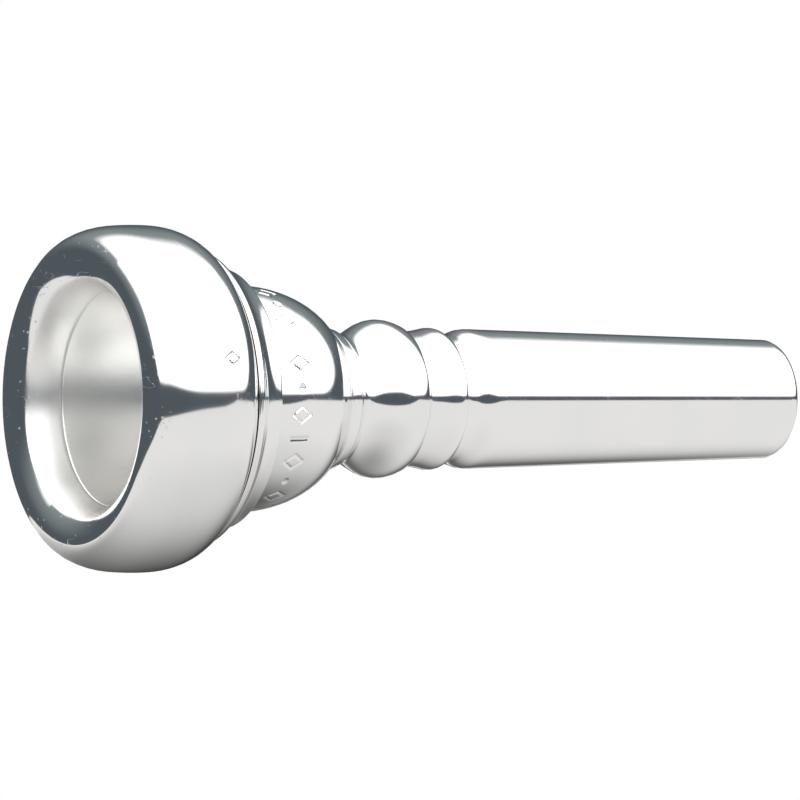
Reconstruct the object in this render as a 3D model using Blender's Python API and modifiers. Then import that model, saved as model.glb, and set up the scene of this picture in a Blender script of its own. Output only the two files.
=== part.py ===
"""Brass mouthpiece for a brass instrument, in three pieces that screw together.

The turned axis lies along world X, with the cup's mouth towards -X and the shank towards +X.
The world origin is at the middle of the length, straight below the axis, at the height of
the barrel's lowest point. Each outline is written as (station, radius) in millimetres, where
station is the distance along the axis from the plane of the rim's face.
"""

from math import atan2, cos, hypot, pi, radians, tau

import bpy

MM = 0.001

# Driving dimensions, in millimetres.
TOTAL_LENGTH = 65.0
BARREL_RADIUS = 13.52
FACE_RADIUS = 10.9  # the rim's foremost ring
CUP_RADIUS = 8.22  # the cup's mouth, behind the bite
THROAT_RADIUS = 2.0
BACKBORE_EXIT_RADIUS = 3.95
NECK_RADIUS = 5.15
LARGE_BEAD_RADIUS = 6.32
SMALL_BEAD_RADIUS = 5.7
SHANK_RADIUS = 5.58  # where the taper begins
TAPER = 1 / 20  # on diameter

# Stations, in millimetres from the rim's face.
RIM_SEAM = 3.5  # inside the cup, between rim and cup
SKIRT_END = 10.0
COLLAR_EDGE = 12.9
BULB_END = 20.95
NECK_SEAM = 22.6
TAPER_START = 36.2
TAPER_END = 64.55
TENON_TOP = 17.1  # the shank piece's tenon, inside the cup
SEAT_GAP = 0.12  # between two pieces screwed home

# Threads: mean radius of the male side, half depth, pitch and the gap between the two sides.
RIM_THREAD_RADIUS = 10.0
NECK_THREAD_RADIUS = 3.85
THREAD_HALF_DEPTH = 0.22
THREAD_PITCH = 1.2
THREAD_GAP = 0.12

RIM_SIDES = 36
SHANK_SIDES = 28
SILVER = (0.91, 0.9, 0.88, 1.0)


def curve(start, first, second, end, count):
    """Points along a cubic curve from start to end, drawn towards the two handles."""
    points = []
    for i in range(1, count + 1):
        u = i / count
        weights = ((1 - u) ** 3, 3 * u * (1 - u) ** 2, 3 * u**2 * (1 - u), u**3)
        corners = (start, first, second, end)
        points.append(tuple(sum(w * c[k] for w, c in zip(weights, corners)) for k in (0, 1)))
    return [start] + points


def bump(start, top, end, count):
    """A rounded ridge that rises from start, runs level over top and falls to end."""
    rise = curve(start, ((start[0] + top[0]) / 2, start[1] + 0.4 * (top[1] - start[1])),
                 ((start[0] + 2 * top[0]) / 3, top[1]), top, count)
    fall = curve(top, ((end[0] + 2 * top[0]) / 3, top[1]),
                 ((end[0] + top[0]) / 2, end[1] + 0.4 * (top[1] - end[1])), end, count)
    return rise + fall[1:]


def thread_rows(first, last, radius):
    """Four rows of points to each turn of a thread that is cut along a cylinder."""
    count = round(4 * abs(last - first) / THREAD_PITCH)
    return [(first + (last - first) * i / count, radius) for i in range(count + 1)]


def shank_radius(station):
    return SHANK_RADIUS - TAPER / 2 * (station - TAPER_START)


def bowl(count):
    """The cup's inside, from the rim's seam down to the shank piece's tenon."""
    return curve((RIM_SEAM + SEAT_GAP, CUP_RADIUS), (9.5, 8.1), (13.0, 4.3), (TENON_TOP, 2.6), count)


def rim_outline():
    female = RIM_THREAD_RADIUS + 2 * THREAD_HALF_DEPTH + THREAD_GAP
    face = (0.0, FACE_RADIUS)
    points = curve(face, (0.0, 11.75), (0.2, 12.2), (0.6, 12.5), 4)
    points += curve((0.6, 12.5), (1.15, 13.1), (2.7, BARREL_RADIUS), (4.6, BARREL_RADIUS), 5)[1:]
    points += curve((5.3, BARREL_RADIUS), (9.4, BARREL_RADIUS), (9.55, 12.0), (SKIRT_END, 11.8), 8)
    points += [(SKIRT_END, female + 0.2)]
    points += thread_rows(SKIRT_END - 0.4, RIM_SEAM + 1.4, female)
    points += [(RIM_SEAM + 0.9, female + 0.15), (RIM_SEAM, female + 0.15), (RIM_SEAM, CUP_RADIUS)]
    bite = curve((3.0, CUP_RADIUS), (1.9, 8.25), (1.35, 8.42), (0.97, 9.05), 4)
    return points + bite + curve((0.97, 9.05), (0.3, 10.15), (0.0, 10.5), face, 4)[1:-1]


def cup_outline():
    male = RIM_THREAD_RADIUS
    seat = SKIRT_END + SEAT_GAP
    female = NECK_THREAD_RADIUS + 2 * THREAD_HALF_DEPTH + THREAD_GAP
    points = [(RIM_SEAM + SEAT_GAP, male - 0.4), (RIM_SEAM + 0.5, male - 0.05)]
    points += thread_rows(RIM_SEAM + 1.0, SKIRT_END - 1.0, male)
    points += [(SKIRT_END - 0.6, male - 0.3), (seat, male - 0.3), (seat, 11.55)]
    points += curve((seat, 11.55), (seat + 0.1, 11.75), (10.6, 11.75), (10.95, 11.2), 3)[1:]
    points += curve((11.05, 11.22), (11.7, 10.95), (12.4, 10.6), (COLLAR_EDGE, 10.15), 3)
    points += [(COLLAR_EDGE + 0.1, 9.95), (COLLAR_EDGE + 0.15, 8.85)]
    points += curve((15.2, 8.8), (17.0, 8.8), (19.0, 8.35), (BULB_END, 6.6), 7)
    points += curve((21.2, 6.2), (21.5, 5.95), (21.8, 5.84), (22.1, 5.77), 2)
    points += [(22.15, 5.66), (NECK_SEAM, 5.58), (NECK_SEAM, female + 0.2)]
    points += thread_rows(NECK_SEAM - 0.4, TENON_TOP + 1.0, female)
    return points + [(TENON_TOP + 0.5, female), (TENON_TOP, female), *reversed(bowl(8)[1:])]


def shank_outline():
    male = NECK_THREAD_RADIUS
    top = TENON_TOP + SEAT_GAP
    neck = NECK_SEAM + SEAT_GAP
    points = [(top, male - 0.4), (top + 0.4, male - 0.05)]
    points += thread_rows(top + 0.9, NECK_SEAM - 1.0, male)
    points += [(NECK_SEAM - 0.6, male - 0.25), (neck, male - 0.25), (neck, 5.48)]
    points += curve((neck, 5.48), (23.2, 5.28), (23.5, NECK_RADIUS), (24.1, NECK_RADIUS), 2)[1:]
    points += bump((24.5, 5.2), (27.0, LARGE_BEAD_RADIUS), (30.5, 5.3), 5)
    points += bump((30.75, 5.2), (32.1, SMALL_BEAD_RADIUS), (33.5, 5.12), 4)
    points += curve((33.9, 5.08), (34.5, 5.3), (34.8, SHANK_RADIUS), (TAPER_START, SHANK_RADIUS), 4)
    points += [(50.0, shank_radius(50.0)), (TAPER_END, shank_radius(TAPER_END))]
    points += [(TOTAL_LENGTH - 0.2, 4.8), (TOTAL_LENGTH, 4.62), (TOTAL_LENGTH, BACKBORE_EXIT_RADIUS)]
    points += curve((TOTAL_LENGTH - 1.0, BACKBORE_EXIT_RADIUS - 0.03), (50.0, 3.75), (38.0, 3.3),
                    (25.0, THROAT_RADIUS), 5)
    return points + curve((21.5, THROAT_RADIUS), (20.0, THROAT_RADIUS), (18.5, 2.2), (top, 2.6), 3)


def silver(name, roughness):
    """Silver plate over brass: the plate's colour, fully metallic."""
    material = bpy.data.materials.new(name)
    material.use_nodes = True
    shader = material.node_tree.nodes["Principled BSDF"]
    shader.inputs["Base Color"].default_value = SILVER
    shader.inputs["Metallic"].default_value = 1.0
    shader.inputs["Roughness"].default_value = roughness
    return material


def cut_thread(mesh, first, last, radius):
    """Moves a cylinder's points in and out by a right-hand helix that fades out at both ends."""
    for vertex in mesh.vertices:
        x, y, z = (value / MM for value in vertex.co)
        station = -z
        if not first <= station <= last or abs(hypot(x, y) - radius) > 0.01:
            continue
        fade = min(1.0, (station - first) / THREAD_PITCH, (last - station) / THREAD_PITCH)
        turn = station / THREAD_PITCH + atan2(y, x) / tau
        grown = 1 + THREAD_HALF_DEPTH * fade * cos(tau * turn) / radius
        vertex.co.x *= grown
        vertex.co.y *= grown


def turned(name, outline, sides, roughness):
    """A ring-shaped solid: the closed outline spun about local Z, with the rim end at the top."""
    profile = bpy.data.meshes.new(name)
    points = [(radius * MM, 0.0, -station * MM) for station, radius in outline]
    edges = [(i, (i + 1) % len(points)) for i in range(len(points))]
    profile.from_pydata(points, edges, [])
    piece = bpy.data.objects.new(name, profile)
    parts.objects.link(piece)
    screw = piece.modifiers.new("Turn", "SCREW")
    screw.axis = "Z"
    screw.angle = tau
    screw.steps = screw.render_steps = sides
    screw.use_merge_vertices = True
    screw.merge_threshold = 0.00001
    graph = bpy.context.evaluated_depsgraph_get()
    piece.data = bpy.data.meshes.new_from_object(piece.evaluated_get(graph))
    piece.modifiers.clear()
    bpy.data.meshes.remove(profile)
    piece.data.name = name
    piece.data.materials.append(silver(name + "_silver", roughness))
    piece.data.shade_smooth()
    piece.data.set_sharp_from_angle(angle=radians(35))
    piece.parent = axis
    return piece


def make_rim():
    female = RIM_THREAD_RADIUS + 2 * THREAD_HALF_DEPTH + THREAD_GAP
    rim = turned("screw_rim", rim_outline(), RIM_SIDES, 0.08)
    cut_thread(rim.data, RIM_SEAM + 1.4, SKIRT_END - 0.4, female)


def make_cup():
    female = NECK_THREAD_RADIUS + 2 * THREAD_HALF_DEPTH + THREAD_GAP
    cup = turned("cup", cup_outline(), RIM_SIDES, 0.1)
    cut_thread(cup.data, RIM_SEAM + 1.0, SKIRT_END - 1.0, RIM_THREAD_RADIUS)
    cut_thread(cup.data, TENON_TOP + 1.0, NECK_SEAM - 0.4, female)


def make_shank():
    shank = turned("backbore_shank", shank_outline(), SHANK_SIDES, 0.1)
    cut_thread(shank.data, TENON_TOP + SEAT_GAP + 0.9, NECK_SEAM - 1.0, NECK_THREAD_RADIUS)


for leftover in list(bpy.data.objects):
    bpy.data.objects.remove(leftover, do_unlink=True)

parts = bpy.data.collections.new("mouthpiece")
bpy.context.scene.collection.children.link(parts)
axis = bpy.data.objects.new("turned_axis", None)
parts.objects.link(axis)
axis.location = (-TOTAL_LENGTH / 2 * MM, 0.0, BARREL_RADIUS * MM)
axis.rotation_euler = (0.0, -pi / 2, 0.0)  # local +Z, the rim end, points along world -X

make_rim()
make_cup()
make_shank()
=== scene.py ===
"""Silver-plated screw-rim mouthpiece on a pale floor.

Three turned pieces stand for the three CAD nodes. Outlines are (station, radius) in
millimetres: the station is measured along the axis from the plane of the rim's face.
"""

from math import cos, pi, radians, sin, tau

import bpy
import numpy as np
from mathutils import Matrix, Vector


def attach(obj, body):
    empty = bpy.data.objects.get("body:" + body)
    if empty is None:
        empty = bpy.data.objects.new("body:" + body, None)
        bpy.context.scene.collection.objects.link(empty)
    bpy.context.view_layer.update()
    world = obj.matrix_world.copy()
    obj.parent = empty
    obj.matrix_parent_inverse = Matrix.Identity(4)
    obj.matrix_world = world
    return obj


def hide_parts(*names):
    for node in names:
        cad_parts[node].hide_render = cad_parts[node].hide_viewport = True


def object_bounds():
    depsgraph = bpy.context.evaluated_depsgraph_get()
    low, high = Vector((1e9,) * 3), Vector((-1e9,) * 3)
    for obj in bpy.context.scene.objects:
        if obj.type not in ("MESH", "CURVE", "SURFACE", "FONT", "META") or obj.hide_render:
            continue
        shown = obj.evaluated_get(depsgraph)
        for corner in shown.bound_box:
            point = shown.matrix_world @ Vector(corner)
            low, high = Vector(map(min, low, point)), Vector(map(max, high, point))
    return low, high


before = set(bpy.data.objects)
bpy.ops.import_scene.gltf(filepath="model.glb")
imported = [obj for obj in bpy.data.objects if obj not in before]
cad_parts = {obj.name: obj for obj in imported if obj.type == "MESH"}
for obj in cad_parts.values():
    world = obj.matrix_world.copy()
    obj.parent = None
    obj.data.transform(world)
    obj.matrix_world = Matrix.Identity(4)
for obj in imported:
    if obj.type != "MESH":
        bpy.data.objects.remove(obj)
cad_box = [list(corner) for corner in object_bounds()]

MM = 0.001
LOW, HIGH = cad_box
FACE_X = LOW[0]
AXIS_Z = (LOW[2] + HIGH[2]) / 2
LENGTH = (HIGH[0] - LOW[0]) / MM
BARREL = (HIGH[2] - LOW[2]) / 2 / MM

# Stations, in millimetres.
SEAM = 3.5  # the rim meets the cup inside
SKIRT = 9.62  # the end of the rim's skirt
COLLAR_EDGE = 12.68
TENON_TOP = 17.1  # the shank piece's tenon, inside the cup
NECK_SEAM = 22.85
SHANK_START = 36.2  # where the taper begins

# Radii and gaps, in millimetres.
RIM_BORE = 8.36
SHANK_RADIUS = 5.58
TAPER = 1 / 40  # on radius
THROAT = 2.0
EXIT = 3.95
GAP = 0.12  # between the skirt and its seat, and above the tenon
NECK_GAP = 0.05
FINE_GAP = 0.02  # between rim and cup inside the bore

# Threads: mean radius of the male side, and how much greater the female side's is.
RIM_THREAD = 10.0
NECK_THREAD = 3.85
PITCH = 1.2
HALF_DEPTH = 0.22
THREAD_GAP = 0.12
FEMALE = 2 * HALF_DEPTH + THREAD_GAP
THREAD_SQUARENESS = 1.6  # near 0 a sine wave, higher for flatter crests and roots
ON_CYLINDER = 0.05  # how near a point's radius is to the cylinder that is threaded

# How the outlines are drawn, in millimetres.
FINE = 0.02  # spacing of the outline before its rows are chosen
EDGE_SOFTNESS = 0.035  # how far every edge is polished round
ROW_TURN = 0.22  # radians the outline may turn from one row to the next
ROW_CLOSEST, ROW_WIDEST = 0.028, 0.55
ROW_BLEND = 4.0  # fine spacings over which the rows close up

# Punched marks, in millimetres.
MARK_LINE = 0.2  # half width of a punched line
MARK_SLOPE = 0.6  # share of that half width taken by its sloping side
RIM_MARKS = {"radius": BARREL, "middle": 6.7, "size": 0.8, "depth": 0.08}
CUP_MARKS = {"radius": 8.8, "middle": 15.4, "size": 1.0, "depth": 0.1}
CUP_MARK_COUNT = 28

# Silver plate. Texture scales are in features to the metre.
TURNING_SCALE = 5200.0
BAND_SCALE = 420.0
CLOUD_SCALE = 160.0
GRAIN_SCALE = 2600.0
SCRATCH_SCALE = 900.0
SCRATCH_PATCH_SCALE = 330.0
PIT_SCALE = 1500.0
WHITE_SILVER = (0.955, 0.95, 0.94, 1)
GREY_SILVER = (0.93, 0.93, 0.925, 1)
TARNISH = (0.93, 0.9, 0.85, 1)
SATIN_SILVER = (0.985, 0.98, 0.96, 1)
POLISH, SATIN = 0.035, 0.27  # roughness outside, and inside the bowl
WEAR_ALL_OVER, WEAR_ON_FACE = 0.08, 0.42
BUMP_STRENGTH, BUMP_HEIGHT = 0.25, 0.000006

# Where the finish changes, in metres, as the start and the end of each change.
SATIN_RADIUS = (0.0092, 0.0097)
SATIN_DEPTH = (FACE_X + 0.0168, FACE_X + 0.0172)
FACE_DEPTH = (FACE_X + 0.0004, FACE_X + 0.0022)
WALL_RADIUS, WALL_SLOPE = 0.0099, 0.25  # a cone that runs inside the cup's wall

# Studio. Bearings are in degrees round the vertical from the front, and a height is the
# upward part of a direction. The studio is bright above an edge whose height goes by bearing.
FRONT = radians(320)
EDGE_HEIGHT = 0.065
# Each rise is (1 left or -1 right of the front, first bearing, last bearing, height).
EDGE_RISES = [(1.0, 20, 75, 0.09), (1.0, 95, 155, 0.43), (-1.0, 12, 78, 0.63)]
STUDIO_BRIGHT = (1.5, 1.5, 1.5, 1)
STUDIO_DARK = (0.078, 0.096, 0.111, 1)
STUDIO_HAZE = (0.24, 0.275, 0.28, 1)  # the dark part, high up
WHITE = (1, 1, 1, 1)

# Glowing paper under the object, seen only in reflections, in metres: its corners, and the
# painted shadows where the object would shade it, as centre x, centre y, reach along x, reach
# along y, depth.
FLOOR_REACH = 1.2
PAPER_CORNERS = [(-0.07, 0.037, 0), (-0.07, -0.06, 0), (0.013, -0.117, 0), (0.9, -0.9, 0),
                 (0.9, 0.037, 0)]
PAPER_COLOUR = (1.0, 0.995, 0.985, 1)
PAPER_LIGHT = 0.8
PAINTED_PAPER_SHADOWS = [(-0.022, 0.001, 0.015, 0.0086, 0.93), (-0.02, 0.0, 0.022, 0.02, 0.22),
                (0.012, 0.014, 0.045, 0.012, 0.85)]
FLOOR_DROP, PAPER_DROP = 0.0004, 0.0002  # below the object's lowest point

LENS, SENSOR = 292.5, 36.0
CAMERA_PLACE = (-0.2735, -0.4416, 0.01343)
CAMERA_TURN = -31.5
CAMERA_REACH = 20


def spline(points, start=None, end=None):
    """A smooth run through the points, with the direction at either end if it is given."""
    p = np.array(points, float)
    h = np.hypot(*np.diff(p, axis=0).T)
    t = np.concatenate([[0], np.cumsum(h)])
    n = len(p)
    left, right = np.zeros((n, n)), np.zeros((n, 2))
    left[0, 0] = left[-1, -1] = 1
    for i in range(1, n - 1):
        left[i, i - 1:i + 2] = h[i - 1], 2 * (h[i - 1] + h[i]), h[i]
        right[i] = 6 * ((p[i + 1] - p[i]) / h[i] - (p[i] - p[i - 1]) / h[i - 1])
    if start is not None:
        left[0, :2] = 2 * h[0], h[0]
        right[0] = 6 * ((p[1] - p[0]) / h[0] - np.array(start) / np.hypot(*start))
    if end is not None:
        left[-1, -2:] = h[-1], 2 * h[-1]
        right[-1] = 6 * (np.array(end) / np.hypot(*end) - (p[-1] - p[-2]) / h[-1])
    m = np.linalg.solve(left, right)
    u = np.linspace(0, t[-1], max(8, int(t[-1] / FINE)))
    k = np.clip(np.searchsorted(t, u, side="right") - 1, 0, n - 2)
    a, b = (t[k + 1] - u)[:, None], (u - t[k])[:, None]
    w = h[k][:, None]
    run = m[k] * a**3 / (6 * w) + m[k + 1] * b**3 / (6 * w)
    run += (p[k] / w - m[k] * w / 6) * a + (p[k + 1] / w - m[k + 1] * w / 6) * b
    return [tuple(q) for q in run]


def closed_even(points):
    """The closed outline at an even, fine spacing."""
    p = np.array(points + points[:1], float)
    h = np.hypot(*np.diff(p, axis=0).T)
    p = p[np.concatenate([h > 1e-9, [True]])]
    t = np.concatenate([[0], np.cumsum(np.hypot(*np.diff(p, axis=0).T))])
    u = np.linspace(0, t[-1], int(t[-1] / FINE), endpoint=False)
    return np.column_stack([np.interp(u, t, p[:, 0]), np.interp(u, t, p[:, 1])])


def smoothed(values, sigma):
    """Values round a closed loop after a Gaussian blur of sigma samples."""
    n = len(values)
    k = np.minimum(np.arange(n), n - np.arange(n))
    kernel = np.exp(-0.5 * (k / sigma) ** 2)
    kernel /= kernel.sum()
    spectrum = np.fft.rfft(kernel)
    if values.ndim == 1:
        return np.fft.irfft(np.fft.rfft(values) * spectrum, n)
    return np.column_stack([np.fft.irfft(np.fft.rfft(c) * spectrum, n) for c in values.T])


def rows_of(points, fine_zones):
    """The outline polished round at its edges, with rows close together where it bends.

    A fine zone is (first station, last station, least radius, greatest radius, spacing).
    """
    even = smoothed(closed_even(points), EDGE_SOFTNESS / FINE)
    step = (np.roll(even, -1, axis=0) - np.roll(even, 1, axis=0)) / 2
    heading = np.unwrap(np.arctan2(step[:, 1], step[:, 0]))
    bend = np.abs(np.gradient(heading)) / FINE
    want = np.clip(ROW_TURN / np.maximum(bend, 1e-6), ROW_CLOSEST, ROW_WIDEST)
    for first, last, low, high, spacing in fine_zones:
        inside = (even[:, 0] > first) & (even[:, 0] < last)
        inside &= (even[:, 1] > low) & (even[:, 1] < high)
        want[inside] = np.minimum(want[inside], spacing)
    want = np.exp(smoothed(np.log(want), ROW_BLEND))
    place = np.cumsum(FINE / want)
    count = int(place[-1])
    chosen = np.searchsorted(place, (np.arange(count) + 0.5) * place[-1] / count)
    return even[np.clip(chosen, 0, len(even) - 1)]


def turned_piece(name, outline, columns, relief):
    """A ring-shaped solid turned from its closed outline, with relief(s, r, angle) in mm."""
    rows = len(outline)
    s = np.repeat(outline[:, :1], columns, axis=1)
    angle = np.tile(np.arange(columns) * tau / columns, (rows, 1))
    r = np.repeat(outline[:, 1:], columns, axis=1)
    tangent = np.roll(outline, -1, axis=0) - np.roll(outline, 1, axis=0)
    tangent /= np.hypot(*tangent.T)[:, None]
    lift = relief(s, r, angle)
    s = s - tangent[:, 1:] * lift
    r = r + tangent[:, :1] * lift
    x = FACE_X + s * MM
    y = r * np.sin(angle) * MM
    z = AXIS_Z + r * np.cos(angle) * MM
    grid = np.stack([x, y, z], axis=-1)
    index = np.arange(rows * columns).reshape(rows, columns)
    down, across = np.roll(index, -1, axis=0), np.roll(index, -1, axis=1)
    corner = np.roll(down, -1, axis=1)
    faces = np.stack([index, down, corner, across], axis=-1).reshape(-1, 4)
    along = np.roll(grid, -1, axis=0) - np.roll(grid, 1, axis=0)
    around = np.roll(grid, -1, axis=1) - np.roll(grid, 1, axis=1)
    normals = np.cross(along, around).reshape(-1, 3)
    normals /= np.linalg.norm(normals, axis=1)[:, None]
    mesh = bpy.data.meshes.new(name)
    mesh.from_pydata(grid.reshape(-1, 3).tolist(), [], faces.tolist())
    mesh.update()
    mesh.shade_smooth()
    mesh.normals_split_custom_set_from_vertices(normals.tolist())
    piece = bpy.data.objects.new(name, mesh)
    bpy.context.scene.collection.objects.link(piece)
    return piece


def thread(first, last, radius):
    """Relief of a right-hand thread cut along a cylinder, fading out at both ends.

    Its sign is 1 on a male side and -1 on a female side, so that the two sides nest.
    """
    def lift(s, r, angle, sign):
        near = (s > first) & (s < last) & (np.abs(r - radius) < ON_CYLINDER)
        fade = np.clip(np.minimum(s - first, last - s) / PITCH, 0, 1)
        wave = np.tanh(THREAD_SQUARENESS * np.cos(tau * (s / PITCH + angle / tau)))
        wave /= np.tanh(THREAD_SQUARENESS)
        return np.where(near, sign * HALF_DEPTH * fade * wave, 0.0)
    return lift


def shank_radius(station):
    return SHANK_RADIUS - (station - SHANK_START) * TAPER


# ---------------------------------------------------------------- outlines

def rim_outline():
    """Bore, bite, rounded face, barrel and skirt, and then the threaded inside."""
    female = RIM_THREAD + FEMALE
    outer = spline([(SEAM, RIM_BORE), (2.7, 8.6), (1.9, 8.88), (1.35, 9.12), (1.02, 9.28),
                    (0.8, 9.44), (0.6, 9.7), (0.4, 10.06), (0.17, 10.55), (0.0, 11.2),
                    (0.13, 11.88), (0.53, 12.5), (1.3, 12.98), (2.5, 13.34),
                    (4.2, BARREL - 0.02), (5.6, BARREL), (6.9, 13.43), (7.9, 13.19),
                    (8.7, 12.82), (9.25, 12.38), (9.52, 12.05), (SKIRT, 11.82)],
                   start=(-1, 0.28), end=(0.1, -1))
    inner = [(SKIRT, female + 0.35), (SKIRT - 0.35, female), (SEAM + 1.2, female),
             (SEAM + 1.0, female + 0.15), (SEAM, female + 0.15), (SEAM, RIM_BORE + 0.05)]
    return outer + inner


def bowl():
    return spline([(SEAM + FINE_GAP, RIM_BORE + 0.05), (5.0, 8.08), (6.5, 7.78), (8.0, 7.32),
                   (9.39, 6.74), (11.03, 5.9), (12.58, 5.02), (14.09, 4.15), (15.58, 3.3),
                   (TENON_TOP, 2.6)], start=(1, -0.25))


def cup_outline():
    """Threaded spigot, bead, cove, collar, bulb and neck, and then the bowl."""
    male = RIM_THREAD
    seat = SKIRT + GAP
    female = NECK_THREAD + FEMALE
    points = [(SEAM + FINE_GAP, RIM_BORE + 0.1), (SEAM + FINE_GAP, male - 0.45),
              (SEAM + 0.55, male), (SKIRT - 0.75, male), (SKIRT - 0.6, male - 0.3),
              (seat, male - 0.3), (seat, 11.7), (seat + 0.06, 11.9), (10.0, 11.91),
              (10.07, 11.7), (10.14, 11.77), (10.38, 11.69)]
    points += spline([(10.42, 11.66), (10.75, 11.24), (11.15, 10.91), (11.7, 10.64),
                      (12.2, 10.44), (COLLAR_EDGE, 10.3)], start=(0.5, -1))
    points += [(COLLAR_EDGE + 0.1, 10.2), (COLLAR_EDGE + 0.14, 8.92)]
    points += spline([(COLLAR_EDGE + 0.2, 8.86), (14.0, 8.91), (15.3, 8.88), (16.6, 8.7),
                      (17.9, 8.36), (19.0, 7.92), (20.0, 7.36), (20.7, 6.82), (21.2, 6.32),
                      (21.5, 6.0)])
    points += [(21.6, 5.93), (21.75, 5.9), (21.8, 5.8), (21.86, 5.84),
               (NECK_SEAM - 0.06, 5.56)]
    points += [(NECK_SEAM, 5.5), (NECK_SEAM, female + 0.35)]
    points += [(NECK_SEAM - 0.35, female), (TENON_TOP, female), (TENON_TOP, 2.7)]
    return points + bowl()[::-1]


def shank_outline():
    """Threaded tenon, neck, two beads, step and tapered shank, and then the backbore."""
    male = NECK_THREAD
    top = TENON_TOP + GAP
    neck = NECK_SEAM + NECK_GAP
    points = [(top, 2.7), (top, male - 0.4), (top + 0.4, male), (NECK_SEAM - 0.75, male),
              (NECK_SEAM - 0.6, male - 0.25), (neck, male - 0.25), (neck, 5.38),
              (neck + 0.05, 5.44)]
    points += spline([(neck + 0.08, 5.44), (23.5, 5.21), (24.1, 5.17), (24.7, 5.3),
                      (25.5, 5.72), (26.3, 6.13), (27.1, 6.31), (27.9, 6.22), (28.5, 6.03),
                      (28.93, 5.78), (29.14, 5.52), (29.22, 5.38)])
    points += spline([(29.3, 5.36), (30.2, 5.4), (31.1, 5.5), (31.8, 5.65), (32.2, 5.67),
                      (32.55, 5.56), (32.78, 5.36), (32.86, 5.16)])
    points += spline([(32.92, 5.14), (33.5, 5.13), (34.1, 5.19), (34.6, 5.39), (35.0, 5.53),
                      (35.5, 5.59), (SHANK_START + 0.6, shank_radius(SHANK_START + 0.6))],
                     end=(1, -TAPER))
    points += [(LENGTH - 0.45, shank_radius(LENGTH - 0.45)), (LENGTH - 0.12, 4.72)]
    points += [(LENGTH, 4.6), (LENGTH, EXIT + 0.1), (LENGTH - 0.1, EXIT)]
    return points + spline([(LENGTH - 0.3, EXIT - 0.01), (64.0, 3.92), (55.8, 3.78),
                            (48.0, 3.55), (40.3, 3.19), (32.7, 2.68), (25.0, THROAT),
                            (21.5, THROAT), (20.0, 2.07), (18.6, 2.27), (top, 2.6)])


# ---------------------------------------------------------------- relief

RIM_FEMALE = thread(SEAM + 1.3, SKIRT - 0.45, RIM_THREAD + FEMALE)
RIM_MALE = thread(SEAM + 0.8, SKIRT - 0.9, RIM_THREAD)
NECK_FEMALE = thread(TENON_TOP + 0.8, NECK_SEAM - 0.45, NECK_THREAD + FEMALE)
NECK_MALE = thread(TENON_TOP + GAP + 0.6, NECK_SEAM - 0.9, NECK_THREAD)


def stroke(distance, depth):
    """Depth of a punched line at this distance from its middle, with sloping sides."""
    return -depth * np.clip((MARK_LINE - np.abs(distance)) / (MARK_SLOPE * MARK_LINE), 0, 1)


def stamped(s, angle, places, radius, middle, size, depth):
    """Punched marks round a surface, as (angle, kind): open diamonds, dots and short bars."""
    lift = np.zeros_like(s)
    for at, kind in places:
        across = radius * ((angle - at + pi) % tau - pi)
        along = s - middle
        if kind == "diamond":
            reach = np.abs(along) + 1.35 * np.abs(across) - 0.85 * size
        elif kind == "dot":
            reach = np.hypot(along, across) - 0.12 * size
        else:
            reach = np.maximum(np.abs(along) - 0.75 * size, np.abs(across))
        lift += stroke(reach, depth)
    return lift


def mark_ring(count):
    """Marks at an even pitch all the way round: diamonds, with a dot or a bar between them."""
    kinds = ("diamond", "dot", "diamond", "bar")
    return [(tau * (i + 0.4) / count, kinds[i % len(kinds)]) for i in range(count)]


def rim_relief(s, r, angle):
    on_barrel = r > BARREL - 0.9
    places = [(radians(-77), "diamond"), (radians(-63), "dot")]
    marks = stamped(s, angle, places, **RIM_MARKS)
    return RIM_FEMALE(s, r, angle, -1.0) + np.where(on_barrel, marks, 0.0)


def cup_relief(s, r, angle):
    on_bulb = (s > COLLAR_EDGE + 0.5) & (s < 18.5) & (r > 7.5)
    marks = stamped(s, angle, mark_ring(CUP_MARK_COUNT), **CUP_MARKS)
    threads = RIM_MALE(s, r, angle, 1.0) + NECK_FEMALE(s, r, angle, -1.0)
    return threads + np.where(on_bulb, marks, 0.0)


def shank_relief(s, r, angle):
    return NECK_MALE(s, r, angle, 1.0)


# ---------------------------------------------------------------- material

class Nodes:
    """Short calls for a shader's node tree."""

    def __init__(self, tree):
        self.tree = tree

    def put(self, socket, value):
        """Links a socket to the value, or sets it where the value is a plain one."""
        if isinstance(value, bpy.types.NodeSocket):
            self.tree.links.new(value, socket)
        else:
            socket.default_value = value

    def new(self, kind, inputs=(), **settings):
        """A node with these settings and inputs, where inputs maps socket to value."""
        node = self.tree.nodes.new(kind)
        for key, value in settings.items():
            setattr(node, key, value)
        for key, value in dict(inputs).items():
            self.put(node.inputs[key], value)
        return node

    def math(self, operation, a, b=0.0):
        return self.new("ShaderNodeMath", {0: a, 1: b}, operation=operation).outputs[0]

    def plus(self, a, b):
        return self.math("ADD", a, b)

    def minus(self, a, b):
        return self.math("SUBTRACT", a, b)

    def times(self, a, b):
        return self.math("MULTIPLY", a, b)

    def flip(self, value):
        return self.minus(1.0, value)

    def step(self, value, low, high):
        """0 below low, 1 above high, smooth between."""
        inputs = {"Value": value, "From Min": low, "From Max": high}
        return self.new("ShaderNodeMapRange", inputs,
                        interpolation_type="SMOOTHSTEP").outputs["Result"]

    def parts(self, vector):
        return self.new("ShaderNodeSeparateXYZ", {0: vector}).outputs

    def noise(self, place, scale, detail):
        inputs = {"Vector": place, "Scale": scale, "Detail": detail}
        return self.new("ShaderNodeTexNoise", inputs).outputs[0]

    def mix(self, factor, a, b, kind="RGBA"):
        inputs = {"Factor": factor, "A": a, "B": b}
        return self.new("ShaderNodeMix", inputs, data_type=kind).outputs["Result"]

    def lerp(self, factor, a, b):
        return self.mix(factor, a, b, "FLOAT")


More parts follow.
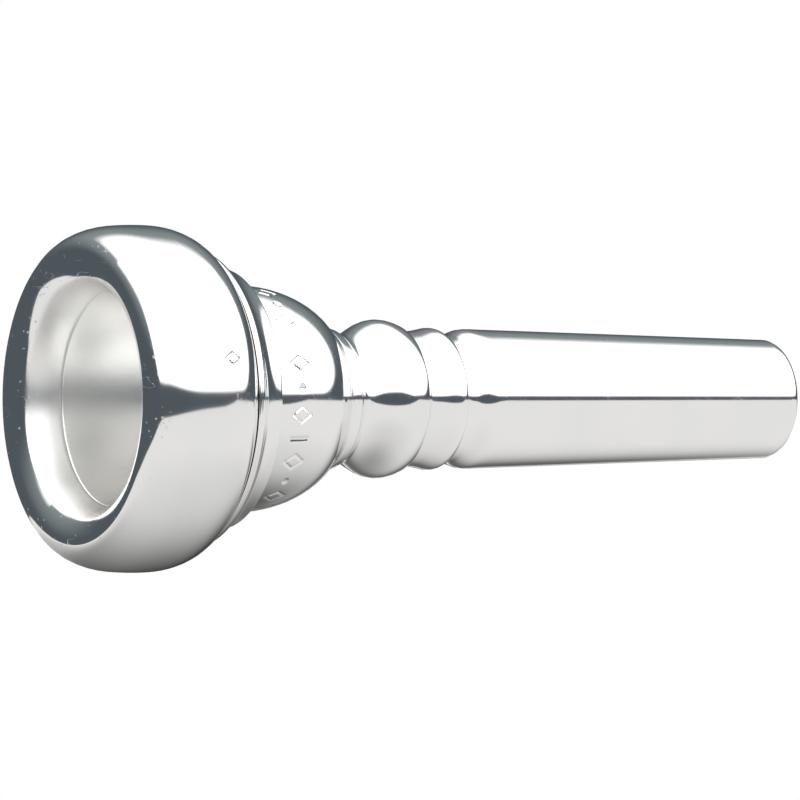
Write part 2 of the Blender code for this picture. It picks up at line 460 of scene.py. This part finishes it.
def scratches(n, place, seed):
    """Thin scratches along one slanting direction, in patches."""
    drawn_out = n.new("ShaderNodeMapping", {"Vector": place, "Scale": (1.0, 0.12, 0.6),
                                            "Rotation": (0.7 + seed, 0.4, 0.9 * seed)})
    level = n.noise(drawn_out.outputs[0], SCRATCH_SCALE, 2.0)
    line = n.flip(n.step(n.math("ABSOLUTE", n.minus(level, 0.5)), 0.0, 0.006))
    return n.times(line, n.step(n.noise(place, SCRATCH_PATCH_SCALE, 1.0), 0.5, 0.62))


def pits(n, place):
    """Tiny round pits, with most of them left out by a fine noise."""
    cells = n.new("ShaderNodeTexVoronoi", {"Vector": place, "Scale": PIT_SCALE}, feature="F1")
    dot = n.flip(n.step(cells.outputs["Distance"], 0.12, 0.24))
    return n.times(dot, n.step(n.noise(place, GRAIN_SCALE, 2.0), 0.49, 0.57))


def satin_part(n, x, radius):
    """1 inside the rim's bore and the bowl, down to the tenon, and 0 elsewhere."""
    within_mouth = n.flip(n.step(radius, *SATIN_RADIUS))
    above_tenon = n.flip(n.step(x, *SATIN_DEPTH))
    # The cone parts the bowl from the cup's outer skin.
    wall = n.minus(WALL_RADIUS, n.times(n.minus(x, FACE_X), WALL_SLOPE))
    outer_skin = n.step(n.minus(radius, wall), 0.0, 0.0004)
    return n.times(n.times(within_mouth, above_tenon), n.flip(outer_skin))


def silver(name, seed):
    """Polished silver plate: turning lines, fine scratches, a satin bore and faint tarnish."""
    material = bpy.data.materials.new(name)
    material.use_nodes = True
    n = Nodes(material.node_tree)
    shader = material.node_tree.nodes["Principled BSDF"]
    place = n.new("ShaderNodeTexCoord").outputs["Object"]
    x, y, z = n.parts(place)
    up = n.minus(z, AXIS_Z)
    radius = n.math("SQRT", n.plus(n.times(y, y), n.times(up, up)))
    turned = n.new("ShaderNodeCombineXYZ", {0: n.plus(x, 0.01 * seed), 1: radius}).outputs[0]
    lines = n.noise(turned, TURNING_SCALE, 3.0)
    bands = n.noise(turned, BAND_SCALE, 2.0)
    cloud = n.noise(place, CLOUD_SCALE, 4.0)
    satin = satin_part(n, x, radius)
    face = n.flip(n.step(x, *FACE_DEPTH))
    wear = n.times(n.plus(scratches(n, place, seed), pits(n, place)),
                   n.lerp(face, WEAR_ALL_OVER, WEAR_ON_FACE))

    tint = n.mix(n.step(cloud, 0.35, 0.65), WHITE_SILVER, GREY_SILVER)
    tint = n.mix(n.times(n.step(cloud, 0.6, 0.8), 0.5), tint, TARNISH)
    tint = n.mix(n.times(satin, 0.8), tint, SATIN_SILVER)
    rough = n.plus(n.times(cloud, 0.06), n.times(bands, 0.03))
    rough = n.plus(n.plus(rough, n.lerp(satin, POLISH, SATIN)), wear)
    height = n.plus(n.times(lines, 0.3), n.times(bands, 0.7))
    height = n.minus(height, n.times(wear, 1.5))
    bump = n.new("ShaderNodeBump", {"Strength": BUMP_STRENGTH, "Distance": BUMP_HEIGHT,
                                    "Height": height})
    n.put(shader.inputs["Base Color"], tint)
    n.put(shader.inputs["Metallic"], 1.0)
    n.put(shader.inputs["Roughness"], rough)
    n.put(shader.inputs["Normal"], bump.outputs[0])
    return material


def make_pieces():
    """The three pieces, each with its fine zones and its number of columns round the axis."""
    rim_zones = [(4.6, 9.8, 10.2, 10.9, 0.1), (5.8, 7.6, 13.2, 13.6, 0.09)]
    cup_zones = [(4.0, 9.5, 9.6, 10.2, 0.15), (17.5, 22.4, 4.2, 4.7, 0.15),
                 (14.2, 16.6, 8.2, 9.2, 0.085)]
    shank_zones = [(17.3, 22.2, 3.5, 4.0, 0.1)]
    rim = turned_piece("rim_turned", rows_of(rim_outline(), rim_zones), 640, rim_relief)
    cup = turned_piece("cup_turned", rows_of(cup_outline(), cup_zones), 480, cup_relief)
    shank = turned_piece("shank_turned", rows_of(shank_outline(), shank_zones), 288, shank_relief)
    for seed, (piece, body, node, slot) in enumerate((
            (rim, "rim_body", "screw_rim", "rim_silver"), (cup, "cup_body", "cup", "cup_silver"),
            (shank, "shank_body", "backbore_shank", "shank_silver"))):
        piece.data.materials.append(silver(slot, seed))
        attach(piece, body)
        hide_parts(node)


# ---------------------------------------------------------------- stage, light, camera

def bearing(n, x, y):
    """Angle of a direction round the vertical, clockwise from above, 0 towards the front."""
    ahead = n.plus(n.times(x, cos(FRONT)), n.times(y, sin(FRONT)))
    aside = n.minus(n.times(x, sin(FRONT)), n.times(y, cos(FRONT)))
    return n.math("ARCTAN2", aside, ahead)


def make_world():
    """A soft white studio: bright above, and darker low down and round the back."""
    world = bpy.data.worlds.new("studio")
    bpy.context.scene.world = world
    world.use_nodes = True
    world.node_tree.nodes.clear()
    n = Nodes(world.node_tree)
    x, y, z = n.parts(n.new("ShaderNodeTexCoord").outputs["Generated"])
    turn = bearing(n, x, y)
    edge = 0.0
    for side, first, last, rise in EDGE_RISES:
        climb = n.step(n.times(turn, side), radians(first), radians(last))
        edge = n.plus(edge, n.times(climb, rise))
    edge = n.plus(edge, EDGE_HEIGHT)
    softness = n.plus(n.times(edge, 0.25), 0.025)
    above = n.step(n.math("DIVIDE", n.minus(z, edge), softness), -0.4, 0.6)
    dark = n.mix(n.step(z, 0.2, 0.65), STUDIO_DARK, STUDIO_HAZE)
    lit = n.new("ShaderNodeBackground", {"Color": n.mix(above, dark, STUDIO_BRIGHT)})
    seen = n.new("ShaderNodeBackground", {"Color": WHITE})
    to_camera = n.new("ShaderNodeLightPath").outputs["Is Camera Ray"]
    blend = n.new("ShaderNodeMixShader", {0: to_camera, 1: lit.outputs[0], 2: seen.outputs[0]})
    n.new("ShaderNodeOutputWorld", {0: blend.outputs[0]})


def glowing_sheet(name, corners, drop):
    """A flat sheet below the object, lit evenly enough to be drawn as light of its own."""
    mesh = bpy.data.meshes.new(name)
    mesh.from_pydata(corners, [], [tuple(range(len(corners)))])
    sheet = bpy.data.objects.new(name, mesh)
    bpy.context.scene.collection.objects.link(sheet)
    sheet.location.z = LOW[2] - drop
    material = bpy.data.materials.new(name + "_paper")
    material.use_nodes = True
    material.node_tree.nodes.clear()
    n = Nodes(material.node_tree)
    glow = n.new("ShaderNodeEmission")
    n.new("ShaderNodeOutputMaterial", {0: glow.outputs[0]})
    mesh.materials.append(material)
    return sheet, n, glow


def painted_paper_shadow(n, x, y, zone):
    """Light left on the paper by one soft oval of painted shadow."""
    centre_x, centre_y, reach_x, reach_y, depth = zone
    across = n.math("DIVIDE", n.minus(x, centre_x), reach_x)
    away = n.math("DIVIDE", n.minus(y, centre_y), reach_y)
    square = n.plus(n.times(across, across), n.times(away, away))
    cover = n.math("EXPONENT", n.times(n.math("POWER", square, 1.5), -1.0))
    return n.flip(n.times(cover, depth))


def make_floor():
    """The pale floor that is seen, and the glowing paper on it, with painted shadows, that the
    metal reflects.
    """
    far = FLOOR_REACH
    square = [(-far, -far, 0), (far, -far, 0), (far, far, 0), (-far, far, 0)]
    floor, n, glow = glowing_sheet("floor", square, FLOOR_DROP)
    n.put(glow.inputs["Color"], WHITE)
    floor.visible_glossy = False
    # The paper glows in place of lit paper and is seen only in the metal's reflections.
    paper, n, glow = glowing_sheet("glowing_paper_painted_shadows", PAPER_CORNERS, PAPER_DROP)
    paper.visible_camera = False
    x, y, _ = n.parts(n.new("ShaderNodeTexCoord").outputs["Object"])
    level = PAPER_LIGHT
    # Painted shadow: soft darker ovals in the paper's glow where the object would shade it.
    for zone in PAINTED_PAPER_SHADOWS:
        level = n.times(level, painted_paper_shadow(n, x, y, zone))
    n.put(glow.inputs["Color"], PAPER_COLOUR)
    n.put(glow.inputs["Strength"], level)


def make_camera():
    data = bpy.data.cameras.new("camera")
    data.lens = LENS
    data.sensor_width = SENSOR
    data.clip_end = CAMERA_REACH
    camera = bpy.data.objects.new("camera", data)
    bpy.context.scene.collection.objects.link(camera)
    camera.location = CAMERA_PLACE
    camera.rotation_euler = (radians(90), 0, radians(CAMERA_TURN))
    bpy.context.scene.camera = camera


make_pieces()
make_world()
make_floor()
make_camera()
bpy.context.scene.view_settings.view_transform = "Standard"
